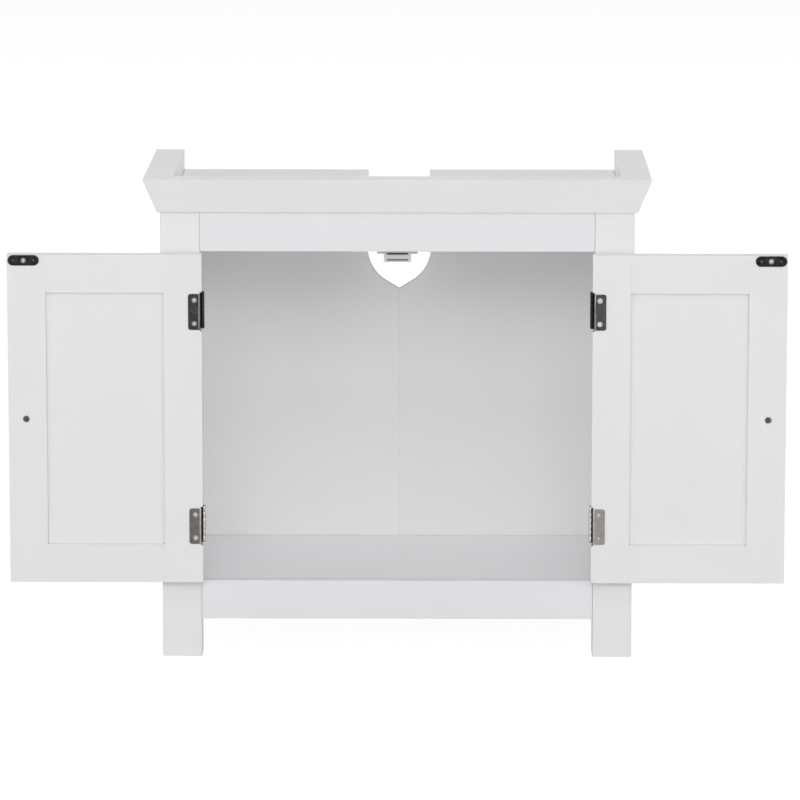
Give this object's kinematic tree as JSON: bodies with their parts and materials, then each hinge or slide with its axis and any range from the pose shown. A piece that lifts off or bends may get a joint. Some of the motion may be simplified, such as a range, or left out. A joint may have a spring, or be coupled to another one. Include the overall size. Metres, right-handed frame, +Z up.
{
  "type": "vanity base cabinet",
  "caption": "Free-standing vanity base cabinet with inset panelled doors, a mitred crown round a recessed top, and a pointed waste-pipe slot in the back.",
  "frame": {"origin": "on the floor, midway between the left and right edges and midway between the crown's front edge and the back of the cabinet", "axes": "+X to the viewer's right, front faces -Y, +Z up; the doors are stored folded right back, 180 degrees from closed"},
  "size_m": [0.9866, 0.3222, 0.618],
  "materials": {
    "lacquer": "satin white lacquer on fibreboard and solid wood",
    "shelf_lacquer": "satin white lacquered floor board",
    "backing_board": "thin board with a matt white face",
    "hinge_steel": "nickel-plated pressed steel, satin",
    "screw_steel": "zinc-plated cross-recess screws",
    "striker_steel": "blackened steel plate",
    "catch_plastic": "moulded light plastic",
    "catch_steel": "bare steel pole plates",
    "magnet": "sintered ferrite",
    "staple_steel": "bright steel staples",
    "knob_metal": "satin nickel"
  },
  "bodies": {
    "carcass": {"front_left_post": "lacquer", "front_right_post": "lacquer", "rear_left_post": "lacquer", "rear_right_post": "lacquer", "left_side_panel": "lacquer", "right_side_panel": "lacquer", "front_top_rail": "lacquer", "front_bottom_rail": "lacquer", "rear_bottom_rail": "lacquer", "top_board": "lacquer", "crown_front": "lacquer", "crown_left": "lacquer", "crown_right": "lacquer", "catch_block": "lacquer", "left_floor_cleat": "lacquer", "right_floor_cleat": "lacquer", "floor_board": "shelf_lacquer", "left_back_panel": "backing_board", "right_back_panel": "backing_board", "back_panel_staples": "staple_steel", "catch_housing": "catch_plastic", "catch_pole_plates": "catch_steel", "catch_magnet": "magnet", "catch_screws": "screw_steel", "cleat_screws": "screw_steel", "left_upper_frame_leaf": "hinge_steel", "left_lower_frame_leaf": "hinge_steel", "left_hinge_pins": "hinge_steel", "left_frame_leaf_screws": "screw_steel", "right_upper_frame_leaf": "hinge_steel", "right_lower_frame_leaf": "hinge_steel", "right_hinge_pins": "hinge_steel", "right_frame_leaf_screws": "screw_steel"},
    "left_door": {"left_door_hinge_stile": "lacquer", "left_door_free_stile": "lacquer", "left_door_top_rail": "lacquer", "left_door_bottom_rail": "lacquer", "left_door_panel": "lacquer", "left_upper_door_leaf": "hinge_steel", "left_lower_door_leaf": "hinge_steel", "left_door_leaf_screws": "screw_steel", "left_door_striker_screw": "screw_steel", "left_door_knob_screw": "screw_steel", "left_door_striker": "striker_steel", "left_door_knob": "knob_metal"},
    "right_door": {"right_door_hinge_stile": "lacquer", "right_door_free_stile": "lacquer", "right_door_top_rail": "lacquer", "right_door_bottom_rail": "lacquer", "right_door_panel": "lacquer", "right_upper_door_leaf": "hinge_steel", "right_lower_door_leaf": "hinge_steel", "right_door_leaf_screws": "screw_steel", "right_door_striker_screw": "screw_steel", "right_door_knob_screw": "screw_steel", "right_door_striker": "striker_steel", "right_door_knob": "knob_metal"}
  },
  "joints": [
    {"name": "left_door_hinge", "type": "hinge", "parent": "carcass", "child": "left_door", "pos_m": [-0.24725, -0.142, 0.3115], "axis": [0, 0, 1], "range_deg": [0, 180]},
    {"name": "right_door_hinge", "type": "hinge", "parent": "carcass", "child": "right_door", "pos_m": [0.24725, -0.142, 0.3115], "axis": [0, 0, -1], "range_deg": [0, 180]}
  ]
}
